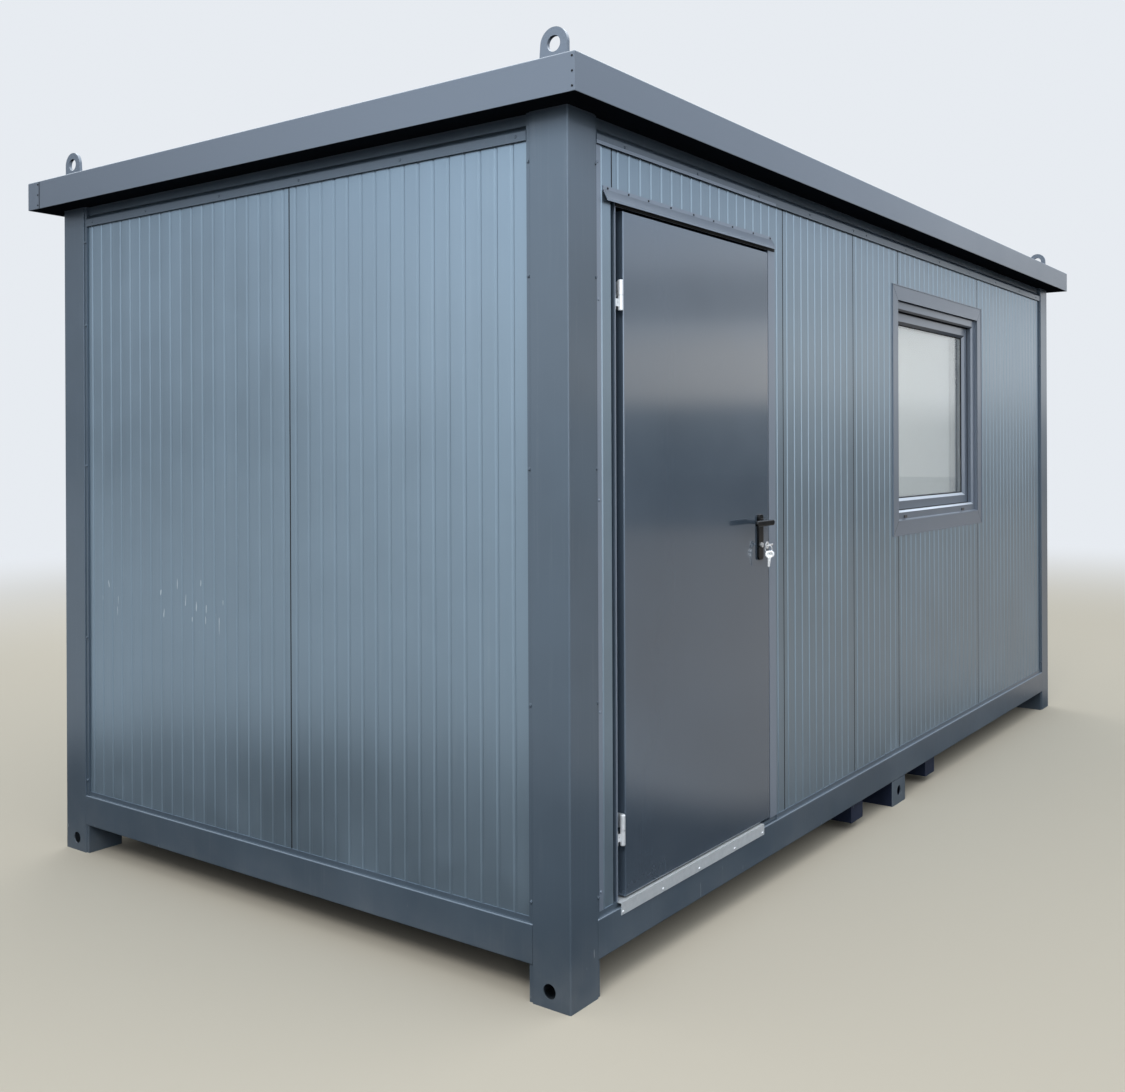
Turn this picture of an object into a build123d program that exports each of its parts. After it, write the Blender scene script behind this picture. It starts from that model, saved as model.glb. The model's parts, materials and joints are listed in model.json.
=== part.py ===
"""Portable site cabin: steel frame on six feet, ribbed sandwich walls, flat roof, door and window.

Millimetres. The origin is on the ground under the middle of the cabin. X runs along the cabin,
the door and the window are in the wall on the -Y side, and Z is up. Every wall is drawn in its
own frame first: u runs along the wall from its left post, d runs inwards from the post's face.
"""
from build123d import *
import os

# Body of the cabin, over the corner posts
cabin_length = 4885
cabin_width = 2435
roof_top = 2591

# Levels above the ground
rail_bottom = 107
rail_face_top = 221
rail_lip_top = 236
sill_level = 212
floor_top = 234
head_level = 2432
frame_top = 2486
top_lip_bottom = 2410
top_lip_fold = 2442
top_fold_end = 2454
top_fold_radius = 13

# Corner posts
post_size = 146
post_wall = 4
post_face = 132
flange_step = 5
post_bend = 5
flange_bend = 2
post_plate = 8
foot_hole_radius = 21.5
foot_hole_height = 48

# Bottom rails and floor
rail_depth = 90
rail_wall = 3
rail_bend = 4
rail_lip_depth = 9
joist_count = 10
joist_width = 50
joist_wall = 3
joist_gap = 5

# Middle feet and the tubes that guide the forks of a lift truck
middle_foot_width = 150
middle_foot_wall = 6
middle_hole_height = 55
guide_width = 120
guide_wall = 5
guide_bottom = 30
guide_setback = 15
guide_offset = 429

# Top rails
top_lip_depth = 3
top_lip_wall = 3
top_web_depth = 16

# Wall panels
panel_depth = 12
panel_thickness = 60
panel_back = panel_depth + panel_thickness
joint_gap = 1.5
joint_depth = 14
rib_pitch = 60.5
rib_width = 15
rib_floor = 6
rib_depth = 2.2

# Panel joints on the door side, from the left post's outer edge
strip_joint = 232
door_joint = 1343
middle_joint = 1985
window_joint = 2480
right_joint = 3589

# Panel joint on the end walls, from the post on the door side
end_joint = 1140

# Roof
overhang = 93
fascia_bottom = 2484
sheet = 2
soffit_reach = 40
fascia_top_width = 83
fascia_drop = 38
roof_panel_inset = 24
roof_panel_thickness = 60
roof_rib_pitch = 333
roof_rib_height = 18
roof_rib_foot = 60
roof_rib_crest = 30
fascia_bend = 4
fascia_hem = 1.4
ceiling_thickness = 12

# Lifting lugs, upright plates parallel to the end walls
lug_setback = 6
lug_thickness = 12
lug_centre = 50
lug_hole_height = 2662
lug_radius = 46
lug_hole_radius = 22.5
lug_foot_width = 101
lug_shoulder = 2560
lug_clearance = 1

# Door opening and frame
frame_left = 228
groove_right = 243
groove_depth = 34
rebate_left = 247
door_right = 1272
door_head = 2270
head_width = 23
closing_jamb_width = 52
frame_face = 9
leaf_gap = 7
leaf_thickness = 42
leaf_face = 6
leaf_left = 283
leaf_bottom = 240
stop_gap = 5
stop_reach = 35
leaf_bend = 4

# Door hinges
hinge_x = 268
hinge_depth = 6
hinge_radius = 8
pin_radius = 4
pin_play = 0.05
hinge_bottoms = (396, 1950)
knuckle_height = 42
knuckle_gap = 1
hinge_plate = 3
hinge_plate_back = 42
hinge_arm_front = 10
hinge_arm_back = 13
hinge_arm_inset = 10

# Lock and handle
lock_x = 1140
lever_height = 1290
plate_above_lever = 27
plate_length = 159
plate_width = 35
plate_thickness = 8
neck_radius = 9
neck_play = 0.05
neck_length = 42
lever_length = 130
lever_width = 20
lever_thickness = 12
lever_edge = 4
plate_edge = 2
cylinder_below_lever = 80
cylinder_radius = 8.5
cylinder_stand = 5
key_thickness = 2
key_bow_radius = 12
key_blade_width = 8
key_blade_length = 30
key_hole_radius = 3
key_ring_radius = 13
key_ring_wire = 1.1
key_seat_gap = 0.3

# Threshold strip, trim beside the door and rain drip over it
threshold_left = 249
threshold_right = 1152
threshold_bottom = 198
trim_width = 26
trim_thickness = 3
drip_left = 187
drip_right = 1255
drip_flange_bottom = 2286
drip_flange_top = 2299
drip_reach = 14.5
drip_fall = 27
drip_hem = 5

# Window
window_bottom = 1224
window_top = 2199
flashing_width = 64
flashing_bead = 4
bead_stand = 2
frame_setback = 24
frame_back = 96
frame_width = 44
frame_bevel = 8
sash_setback = 50
sash_back = 104
sash_overlap = 10
sash_width = 62
sash_bevel = 12
glass_setback = 66
glass_thickness = 24
glass_grip = 12
sill_slope = 5
drain_places = (2594, 3385)
drain_width = 32
drain_height = 12
drain_stand = 4

door_leaf_right = door_right - closing_jamb_width - leaf_gap
door_leaf_top = door_head - head_width - leaf_gap
leaf_back = leaf_face + leaf_thickness
plate_top = lever_height + plate_above_lever
plate_bottom = plate_top - plate_length
cylinder_height = lever_height - cylinder_below_lever
roof_panel_bottom = frame_top + sheet
roof_panel_top = roof_panel_bottom + roof_panel_thickness

front = Location((-cabin_length / 2, -cabin_width / 2, 0), (0, 0, 0))
right = Location((cabin_length / 2, -cabin_width / 2, 0), (0, 0, 90))
back = Location((cabin_length / 2, cabin_width / 2, 0), (0, 0, 180))
left = Location((-cabin_length / 2, cabin_width / 2, 0), (0, 0, -90))


def block(u0, u1, d0, d1, z0, z1):
    """A box between two corners."""
    return Pos((u0 + u1) / 2, (d0 + d1) / 2, (z0 + z1) / 2) * Box(u1 - u0, d1 - d0, z1 - z0)


def along(points, u0, u1):
    """A (d, z) outline drawn out along the wall from u0 to u1."""
    outline = make_face(Polyline(*points, close=True))
    return Pos(u0, 0, 0) * extrude(Plane.YZ * outline, amount=u1 - u0)


def upright(points, z0, z1):
    """A (u, d) outline drawn upwards from z0 to z1."""
    outline = make_face(Polyline(*points, close=True))
    return Pos(0, 0, z0) * extrude(outline, amount=z1 - z0)


def rod_y(u, z, radius, d0, d1):
    """A round rod that runs inwards from d0 to d1."""
    return Pos(u, (d0 + d1) / 2, z) * Rot(90, 0, 0) * Cylinder(radius, d1 - d0)


def rod_z(u, d, radius, z0, z1):
    """An upright round rod."""
    return Pos(u, d, (z0 + z1) / 2) * Cylinder(radius, z1 - z0)


def window_ring(u0, u1, z0, z1, width, d0, d1):
    """A rectangular frame with its outer edges given."""
    inner = block(u0 + width, u1 - width, d0 - 1, d1 + 1, z0 + width, z1 - width)
    return block(u0, u1, d0, d1, z0, z1) - inner


def corner_post(hole_side):
    """A folded tube with a stepped flange at both inner edges, closed at both ends."""
    corner = [
        (0, 0), (post_face, 0), (post_face, flange_step), (post_size, flange_step),
        (post_size, post_size), (flange_step, post_size), (flange_step, post_face), (0, post_face),
    ]
    outline = make_face(Polyline(*corner, close=True))
    outer_corner = outline.vertices().sort_by(lambda v: v.X + v.Y)[0]
    outline = fillet(outer_corner, post_bend)
    folds = [v for v in outline.vertices() if abs(max(v.X, v.Y) - post_face) < 0.01 and min(v.X, v.Y) < 0.01]
    outline = fillet(folds, flange_bend)
    tube = extrude(outline, amount=frame_top)
    core = offset(outline, amount=-post_wall, kind=Kind.INTERSECTION)
    core = Pos(0, 0, post_plate) * extrude(core, amount=frame_top - 2 * post_plate)
    tube -= core
    middle = post_size / 2
    if hole_side == "d":
        hole = rod_y(middle, foot_hole_height, foot_hole_radius, -1, post_wall + 2)
    else:
        hole = Pos(post_wall / 2, middle, foot_hole_height) * Rot(0, 90, 0)
        hole *= Cylinder(foot_hole_radius, post_wall + 4)
    return tube - hole


def bottom_rail(length, notch=None):
    """A closed rail with a shelf for the panels and a lip in front; its face laps the posts' flanges."""
    section = [
        (0, rail_bottom), (rail_depth, rail_bottom), (rail_depth, sill_level),
        (panel_depth, sill_level), (panel_depth, rail_lip_top), (rail_lip_depth, rail_lip_top),
        (rail_lip_depth, rail_face_top), (0, rail_face_top),
    ]
    rail = along(section, post_size, length - post_size)
    for u0 in (post_face, length - post_size):
        rail += block(u0, u0 + post_size - post_face, 0, flange_step, rail_bottom, rail_face_top)
    outer = rail.edges().filter_by(Axis.X)
    outer = [e for e in outer if abs(e.center().Y) < 0.01]
    rail = fillet(outer, rail_bend)
    rail -= block(
        post_size - 1, length, rail_wall, rail_depth - rail_wall,
        rail_bottom + rail_wall, sill_level - rail_wall,
    )
    if notch:
        rail -= block(notch[0], notch[1], -1, panel_depth + 1, rail_face_top, rail_lip_top + 1)
        rail -= block(notch[0], notch[1], rail_lip_depth, panel_depth + 1, sill_level, rail_lip_top)
    return rail


def top_rail(length):
    """A closed rail with a drip lip and a sloping fold over the panels."""
    section = [
        (top_lip_depth, top_lip_bottom), (top_lip_depth, top_lip_fold),
        (top_web_depth, top_fold_end), (top_web_depth, frame_top), (rail_depth, frame_top),
        (rail_depth, head_level), (top_lip_depth + top_lip_wall, head_level),
        (top_lip_depth + top_lip_wall, top_lip_bottom),
    ]
    rail = along(section, post_size, length - post_size)
    fold = [
        e for e in rail.edges().filter_by(Axis.X)
        if abs(e.center().Y - top_lip_depth) < 0.01 and abs(e.center().Z - top_lip_fold) < 0.01
    ]
    rail = fillet(fold, top_fold_radius)
    rail -= block(
        post_size - 1, length, top_web_depth + rail_wall, rail_depth - rail_wall,
        head_level + rail_wall, frame_top - rail_wall,
    )
    return rail


def ribbed_panel(u0, u1, z0, z1, rib_start=None):
    """A sandwich panel with shallow upright grooves and stepped joints at its edges."""
    start = u0 if rib_start is None else rib_start
    points = [(u0 + joint_gap, panel_depth)]
    centre = start + rib_pitch / 2
    while centre < u1 - rib_width:
        if centre > u0 + rib_width:
            points += [
                (centre - rib_width / 2, panel_depth),
                (centre - rib_floor / 2, panel_depth + rib_depth),
                (centre + rib_floor / 2, panel_depth + rib_depth),
                (centre + rib_width / 2, panel_depth),
            ]
        centre += rib_pitch
    step = panel_depth + joint_depth
    points += [
        (u1 - joint_gap, panel_depth), (u1 - joint_gap, step), (u1, step), (u1, panel_back),
        (u0, panel_back), (u0, step), (u0 + joint_gap, step),
    ]
    return upright(points, z0, z1)


def fascia(length):
    """A folded edge trim: soffit leg, upright face, top leg and a drop edge, mitred at both ends."""
    face = -overhang
    top_inner = face + fascia_top_width
    section = [
        (soffit_reach, frame_top), (soffit_reach, roof_panel_bottom),
        (face + sheet, roof_panel_bottom), (face + sheet, roof_top - sheet),
        (top_inner - sheet, roof_top - sheet), (top_inner - sheet, roof_top - fascia_drop),
        (top_inner, roof_top - fascia_drop), (top_inner, roof_top), (face, roof_top),
        (face, fascia_bottom), (face + sheet, fascia_bottom), (face + sheet, frame_top),
    ]
    trim = along(section, face, length - face)
    outer = [e for e in trim.edges().filter_by(Axis.X) if abs(e.center().Y - face) < 0.01]
    outer = sorted(outer, key=lambda e: e.center().Z)
    trim = fillet(outer[-1], fascia_bend)
    hem = [
        e for e in trim.edges().filter_by(Axis.X)
        if abs(e.center().Y - face) < 0.01 and abs(e.center().Z - fascia_bottom) < 0.01
    ]
    trim = fillet(hem, fascia_hem)
    mitre = [
        (face, face), (length - face, face),
        (length - soffit_reach, soffit_reach), (soffit_reach, soffit_reach),
    ]
    return trim & upright(mitre, fascia_bottom, roof_top)


def lug_plate(clearance=0):
    """The lug at the left end of the door side, drawn in the whole cabin's frame."""
    y_centre = -cabin_width / 2 + lug_centre
    y_foot = y_centre - lug_radius
    foot = [
        (y_foot, frame_top), (y_foot + lug_foot_width, frame_top),
        (y_foot + lug_foot_width, lug_shoulder), (y_foot, lug_shoulder),
    ]
    eye = Pos(y_centre, lug_hole_height) * Circle(lug_radius)
    outline = make_hull(eye.edges() + Polyline(*foot, close=True).edges())
    outline -= Pos(y_centre, lug_hole_height) * Circle(lug_hole_radius)
    x_face = -cabin_length / 2 + lug_setback
    return Pos(x_face, 0, 0) * extrude(Plane.YZ * outline, amount=lug_thickness)


def lug_slot():
    """The clearance that the roof edge leaves round that lug."""
    x_face = -cabin_length / 2 + lug_setback
    y_foot = -cabin_width / 2 + lug_centre - lug_radius
    return block(
        x_face - lug_clearance, x_face + lug_thickness + lug_clearance,
        y_foot - lug_clearance, y_foot + lug_foot_width + lug_clearance,
        fascia_bottom - 1, roof_top + 1,
    )


def at_four_corners(shape):
    """The shape and its mirror images at the other three corners."""
    across = mirror(shape, about=Plane.YZ)
    return [shape, across, mirror(shape, about=Plane.XZ), mirror(across, about=Plane.XZ)]


def middle_foot():
    """A closed foot tube under the middle of a long rail, with a hole in its face."""
    u0 = cabin_length / 2 - middle_foot_width / 2
    u1 = u0 + middle_foot_width
    foot = block(u0, u1, 0, middle_foot_width, 0, rail_bottom)
    foot = fillet(foot.edges().filter_by(Axis.Z), rail_bend)
    foot -= block(
        u0 + middle_foot_wall, u1 - middle_foot_wall, middle_foot_wall,
        middle_foot_width - middle_foot_wall, middle_foot_wall, rail_bottom - middle_foot_wall,
    )
    hole = rod_y(cabin_length / 2, middle_hole_height, foot_hole_radius, -1, middle_foot_wall + 1)
    return foot - hole


def fork_guide(x_centre):
    """A tube under the floor from one long rail to the other."""
    half = guide_width / 2
    reach = cabin_width / 2 - guide_setback
    tube = block(x_centre - half, x_centre + half, -reach, reach, guide_bottom, rail_bottom)
    tube = fillet(tube.edges().filter_by(Axis.Y), rail_bend)
    return tube - block(
        x_centre - half + guide_wall, x_centre + half - guide_wall, -reach + guide_wall,
        reach - guide_wall, guide_bottom + guide_wall, rail_bottom - guide_wall,
    )


def joist(x_centre):
    """A channel between the long rails, open to one side."""
    reach = cabin_width / 2 - rail_depth
    z0 = rail_bottom + joist_gap
    bar = block(
        x_centre - joist_width / 2, x_centre + joist_width / 2, -reach, reach, z0, sill_level,
    )
    return bar - block(
        x_centre - joist_width / 2 + joist_wall, x_centre + joist_width, -reach - 1, reach + 1,
        z0 + joist_wall, sill_level - joist_wall,
    )


def roof_panel():
    """The roof slab with raised ribs that run across the cabin."""
    x_reach = cabin_length / 2 - roof_panel_inset
    y_reach = cabin_width / 2 - roof_panel_inset
    count = int((2 * x_reach - roof_rib_foot) // roof_rib_pitch)
    points = [(-x_reach, roof_panel_bottom), (-x_reach, roof_panel_top)]
    for index in range(count + 1):
        centre = (index - count / 2) * roof_rib_pitch
        crest = roof_panel_top + roof_rib_height
        points += [
            (centre - roof_rib_foot / 2, roof_panel_top), (centre - roof_rib_crest / 2, crest),
            (centre + roof_rib_crest / 2, crest), (centre + roof_rib_foot / 2, roof_panel_top),
        ]
    points += [(x_reach, roof_panel_top), (x_reach, roof_panel_bottom)]
    outline = make_face(Polyline(*points, close=True))
    slab = extrude(Plane.XZ * outline, amount=y_reach, both=True)
    for slot in at_four_corners(lug_slot()):
        slab -= slot
    return slab


def door_frame():
    """Jambs, head and sill bar with a rebate that the leaf closes into, and a groove by the wall."""
    stop_face = leaf_back + stop_gap
    outer = block(frame_left, door_right, panel_depth, panel_back, sill_level, door_head)
    face = block(groove_right, door_right, frame_face, panel_depth, rail_lip_top, door_head)
    frame = outer + face
    rebate = block(
        rebate_left, door_right - closing_jamb_width, frame_face - 1, stop_face,
        floor_top - sheet, door_head - head_width,
    )
    doorway = block(
        leaf_left + stop_reach - leaf_gap, door_right - closing_jamb_width - stop_reach,
        frame_face - 1, panel_back + 1, floor_top - sheet, door_head - head_width - stop_reach,
    )
    groove = block(
        frame_left - 1, groove_right, frame_face - 1, groove_depth, rail_lip_top, door_head,
    )
    return frame - rebate - doorway - groove


def threshold_strip():
    """An angle that laps the bottom rail's face and covers the sill bar."""
    face = block(
        threshold_left, threshold_right, -sheet, 0, threshold_bottom, floor_top,
    )
    stop_face = leaf_back + stop_gap
    tread = block(
        rebate_left, threshold_right, -sheet, stop_face, floor_top - sheet, floor_top,
    )
    tread += block(
        leaf_left + stop_reach - leaf_gap, threshold_right, stop_face, panel_back,
        floor_top - sheet, floor_top,
    )
    return face + tread


def door_leaf():
    """The leaf with its bores for the handle's neck."""
    leaf = block(leaf_left, door_leaf_right, leaf_face, leaf_back, leaf_bottom, door_leaf_top)
    leaf = fillet(leaf.faces().sort_by(Axis.Y)[0].edges(), leaf_bend)
    bore = rod_y(lock_x, lever_height, neck_radius + neck_play, leaf_face - 1, leaf_back + 1)
    return leaf - bore


def frame_knuckles():
    """The lower half of both hinges, with a plate on the jamb and the pin that stands in it."""
    parts = []
    for z0 in hinge_bottoms:
        z1 = z0 + knuckle_height
        knuckle = rod_z(hinge_x, hinge_depth, hinge_radius, z0, z1)
        plate = block(
            rebate_left, rebate_left + hinge_plate, hinge_arm_front, hinge_plate_back, z0, z1,
        )
        arm = block(
            rebate_left, hinge_x, hinge_arm_front, hinge_arm_back,
            z0 + hinge_arm_inset, z1 - hinge_arm_inset,
        )
        pin = rod_z(hinge_x, hinge_depth, pin_radius, z1, z1 + knuckle_gap + knuckle_height)
        parts.append(knuckle + plate + arm + pin)
    return parts


def leaf_knuckles():
    """The upper half of both hinges, bored for the pin, with a plate on the leaf's edge."""
    parts = []
    for bottom in hinge_bottoms:
        z0 = bottom + knuckle_height + knuckle_gap
        z1 = z0 + knuckle_height
        knuckle = rod_z(hinge_x, hinge_depth, hinge_radius, z0, z1)
        plate = block(
            leaf_left - hinge_plate, leaf_left, hinge_arm_front, hinge_plate_back, z0, z1,
        )
        arm = block(
            hinge_x, leaf_left, hinge_arm_front, hinge_arm_back,
            z0 + hinge_arm_inset, z1 - hinge_arm_inset,
        )
        bore = rod_z(hinge_x, hinge_depth, pin_radius + pin_play, z0 - 1, z1 + 1)
        parts.append(knuckle + plate + arm - bore)
    return parts


def lock_plate(d0, d1):
    """A long plate with rounded ends, bored for the handle's neck; d1 is its outer face."""
    half = plate_width / 2
    low, high = min(d0, d1), max(d0, d1)
    plate = block(lock_x - half, lock_x + half, low, high, plate_bottom, plate_top)
    plate = fillet(plate.edges().filter_by(Axis.Y), half * 0.6)
    faces = plate.faces().filter_by(Axis.Y).sort_by(Axis.Y)
    outer = faces[0] if d1 < d0 else faces[-1]
    plate = fillet(outer.edges(), plate_edge)
    return plate - rod_y(lock_x, lever_height, neck_radius + neck_play, low - 1, high + 1)


def lever(d_neck, d_lever):
    """A lever that points at the hinges, on its round neck."""
    outline = SlotCenterToCenter(lever_length - lever_width, lever_width)
    bar = extrude(Plane.XZ * outline, amount=lever_thickness / 2, both=True)
    bar = fillet(bar.faces().filter_by(Axis.Y).edges(), lever_edge)
    middle = lock_x - (lever_length - lever_width) / 2
    bar = Pos(middle, d_lever, lever_height) * bar
    return bar + rod_y(lock_x, lever_height, neck_radius, min(d_neck, d_lever), max(d_neck, d_lever))


def door_handle():
    """Both levers on one spindle through the leaf."""
    outside = leaf_face - plate_thickness - neck_length
    inside = leaf_back + plate_thickness + neck_length
    return lever(leaf_face, outside) + lever(leaf_face, inside)


def lock_cylinder():
    """The lock's round face stands proud of both plates."""
    outside = leaf_face - plate_thickness
    inside = leaf_back + plate_thickness
    return [
        rod_y(lock_x, cylinder_height, cylinder_radius, outside - cylinder_stand, outside),
        rod_y(lock_x, cylinder_height, cylinder_radius, inside, inside + cylinder_stand),
    ]


def keys():
    """A key in the lock and a second one that hangs from the same ring."""
    face = leaf_face - plate_thickness - cylinder_stand
    bow_depth = face - 6 - key_bow_radius
    hole_offset = key_bow_radius / 2
    drop = key_hole_radius - key_ring_wire - key_seat_gap
    bow = Pos(bow_depth, cylinder_height) * Circle(key_bow_radius)
    bow += Pos((face + bow_depth) / 2, cylinder_height) * Rectangle(face - bow_depth, key_blade_width)
    hole_depth = bow_depth - hole_offset
    bow -= Pos(hole_depth, cylinder_height) * Circle(key_hole_radius)
    first = extrude(Plane.YZ * bow, amount=key_thickness / 2, both=True)
    first = Pos(lock_x, 0, 0) * first
    ring_height = cylinder_height - drop - key_ring_radius
    ring = Pos(lock_x, hole_depth, ring_height) * Rot(90, 0, 0)
    ring *= Torus(key_ring_radius, key_ring_wire)
    tag_height = ring_height - key_ring_radius - drop - hole_offset
    tag = Pos(0, tag_height) * Circle(key_bow_radius)
    blade_height = tag_height - (key_bow_radius + key_blade_length) / 2
    tag += Pos(0, blade_height) * Rectangle(key_blade_width, key_blade_length + key_bow_radius)
    tag -= Pos(0, tag_height + hole_offset) * Circle(key_hole_radius)
    second = extrude(Plane.YZ * tag, amount=key_thickness / 2, both=True)
    second = Pos(lock_x, hole_depth, 0) * second
    return [first, ring, second]


def door_drip():
    """A folded flashing over the door: flange on the panel, sloping nose, hem."""
    root = panel_depth - sheet
    section = [
        (panel_depth, drip_flange_top), (root, drip_flange_top), (root, drip_flange_bottom + sheet),
        (root - drip_reach, drip_flange_bottom - drip_fall + sheet),
        (root - drip_reach, drip_flange_bottom - drip_fall - drip_hem),
        (root - drip_reach + sheet, drip_flange_bottom - drip_fall - drip_hem),
        (root - drip_reach + sheet, drip_flange_bottom - drip_fall),
        (root + sheet, drip_flange_bottom),
    ]
    return along(section, drip_left, drip_right)


def window_flashing():
    """A mitred surround on the panels with a reveal, and a sill that falls outwards."""
    u0 = window_joint - flashing_width
    u1 = right_joint + flashing_width
    z0 = window_bottom - flashing_width
    z1 = window_top + flashing_width
    face = panel_depth - sheet
    surround = window_ring(u0, u1, z0, z1, flashing_width, face, panel_depth)
    surround += window_ring(u0, u1, z0, z1, flashing_bead, face - bead_stand, panel_depth)
    reveal = window_ring(
        window_joint, right_joint, window_bottom, window_top, sheet, face, frame_setback,
    )
    slope = [
        (face, window_bottom + sheet), (frame_setback, window_bottom + sheet),
        (frame_setback, window_bottom + sheet + sill_slope),
    ]
    sill = along(slope, window_joint + sheet, right_joint - sheet)
    return surround + reveal + sill


def bevelled(ring, size):
    """The ring with its outer face bevelled along the opening."""
    face = ring.faces().filter_by(Axis.Y).sort_by(Axis.Y)[0]
    return chamfer(face.inner_wires()[0].edges(), size)


def window_parts():
    """The fixed frame with its two drain caps, the sash and the pane."""
    frame = window_ring(
        window_joint, right_joint, window_bottom, window_top, frame_width,
        frame_setback, sash_setback,
    )
    frame = bevelled(frame, frame_bevel)
    inset = frame_width - sash_overlap
    frame += window_ring(
        window_joint, right_joint, window_bottom, window_top, inset, sash_setback, frame_back,
    )
    z0 = window_bottom + sheet + sill_slope + drain_stand
    for u in drain_places:
        frame += block(
            u - drain_width / 2, u + drain_width / 2, frame_setback - drain_stand, frame_setback,
            z0, z0 + drain_height,
        )
    sash = window_ring(
        window_joint + inset, right_joint - inset, window_bottom + inset, window_top - inset,
        sash_width, sash_setback, sash_back,
    )
    sash = bevelled(sash, sash_bevel)
    edge = inset + sash_width - glass_grip
    pane = block(
        window_joint + edge, right_joint - edge, glass_setback, glass_setback + glass_thickness,
        window_bottom + edge, window_top - edge,
    )
    return frame, sash - pane, pane


def save(name, shape, place=None):
    """Place the solids of one node and write them to a file."""
    solids = shape if isinstance(shape, list) else [shape]
    if place is not None:
        solids = [place * solid for solid in solids]
    result = solids[0] if len(solids) == 1 else Compound(children=solids)
    export_step(result, f"parts/{name}.step")


def frame_nodes():
    corners = (
        ("front_left", front, "u"), ("front_right", right, "d"),
        ("back_right", back, "u"), ("back_left", left, "d"),
    )
    for name, place, hole_side in corners:
        save(f"corner_post_{name}", corner_post(hole_side), place)
    sides = (
        ("front", front, cabin_length), ("right", right, cabin_width),
        ("back", back, cabin_length), ("left", left, cabin_width),
    )
    slots = at_four_corners(lug_slot())
    for name, place, length in sides:
        notch = (frame_left, door_right) if name == "front" else None
        save(f"bottom_rail_{name}", bottom_rail(length, notch), place)
        save(f"top_rail_{name}", top_rail(length), place)
        edge = place * fascia(length)
        for slot in slots:
            edge -= slot
        save(f"roof_fascia_{name}", edge)
    save("middle_feet", [front * middle_foot(), back * middle_foot()])
    save("fork_guides", [fork_guide(-guide_offset), fork_guide(guide_offset)])
    save("lifting_lugs", at_four_corners(lug_plate()))


def floor_and_roof_nodes():
    span = cabin_length - 2 * post_size - joist_width
    pitch = span / (joist_count - 1)
    save("floor_joists", [joist(-span / 2 + index * pitch) for index in range(joist_count)])
    x_reach = cabin_length / 2 - panel_back
    y_reach = cabin_width / 2 - panel_back
    deck = block(-x_reach, x_reach, -y_reach, y_reach, sill_level, floor_top)
    for place in (front, right, back, left):
        deck -= place * block(0, post_size, 0, post_size, 0, roof_top)
    save("floor_deck", deck)
    x_reach = cabin_length / 2 - rail_depth
    y_reach = cabin_width / 2 - rail_depth
    ceiling = block(
        -x_reach, x_reach, -y_reach, y_reach, roof_panel_bottom - ceiling_thickness,
        roof_panel_bottom,
    )
    for place in (front, right, back, left):
        ceiling -= place * block(0, post_size, 0, post_size, 0, roof_top)
    save("ceiling", ceiling)
    save("roof_panel", roof_panel())


def wall_nodes():
    split = cabin_width - end_joint
    inner_end = cabin_width - post_size
    left_panels = [
        ribbed_panel(post_size, split, sill_level, head_level),
        ribbed_panel(split, inner_end, sill_level, head_level),
    ]
    save("left_wall_panels", left_panels, left)
    right_panels = [
        ribbed_panel(post_size, end_joint, sill_level, head_level),
        ribbed_panel(end_joint, inner_end, sill_level, head_level),
    ]
    save("right_wall_panels", right_panels, right)
    count = 4
    width = (cabin_length - 2 * post_size) / count
    back_panels = []
    for index in range(count):
        u0 = post_size + index * width
        back_panels.append(ribbed_panel(u0, u0 + width, sill_level, head_level))
    save("back_wall_panels", back_panels, back)
    door_strip = ribbed_panel(post_size, frame_left, sill_level, door_head)
    door_strip += ribbed_panel(post_size, strip_joint, door_head, head_level)
    strips = [
        door_strip,
        ribbed_panel(door_right, door_joint, sill_level, door_head, strip_joint),
    ]
    save("front_door_strips", strips, front)
    over_door = ribbed_panel(strip_joint, door_joint, door_head, head_level)
    save("front_panel_over_door", over_door, front)
    beside = ribbed_panel(door_joint, middle_joint, sill_level, head_level)
    save("front_panel_beside_door", beside, front)
    middle = ribbed_panel(middle_joint, window_joint, sill_level, head_level)
    save("front_panel_middle", middle, front)
    under = ribbed_panel(window_joint, right_joint, sill_level, window_bottom)
    save("front_panel_under_window", under, front)
    over = ribbed_panel(window_joint, right_joint, window_top, head_level)
    save("front_panel_over_window", over, front)
    last = ribbed_panel(right_joint, cabin_length - post_size, sill_level, head_level)
    save("front_panel_right", last, front)


def door_nodes():
    trim = block(
        post_size, post_size + trim_width, panel_depth - trim_thickness, panel_depth,
        rail_lip_top, top_lip_bottom,
    )
    save("door_side_trim", trim, front)
    save("door_frame", door_frame(), front)
    save("threshold_strip", threshold_strip(), front)
    save("door_drip", door_drip(), front)
    save("hinge_pins", frame_knuckles(), front)
    save("door_leaf", door_leaf(), front)
    save("hinge_knuckles", leaf_knuckles(), front)
    plates = [
        lock_plate(leaf_face, leaf_face - plate_thickness),
        lock_plate(leaf_back, leaf_back + plate_thickness),
    ]
    save("lock_plates", plates, front)
    save("door_handle", door_handle(), front)
    save("lock_cylinder", lock_cylinder(), front)
    save("keys", keys(), front)


def window_nodes():
    frame, sash, pane = window_parts()
    save("window_flashing", window_flashing(), front)
    save("window_frame", frame, front)
    save("window_sash", sash, front)
    save("window_glass", pane, front)


os.makedirs("parts", exist_ok=True)
frame_nodes()
floor_and_roof_nodes()
wall_nodes()
door_nodes()
window_nodes()
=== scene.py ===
import json
import math

import bmesh
import bpy
from mathutils import Matrix, Vector


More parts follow.
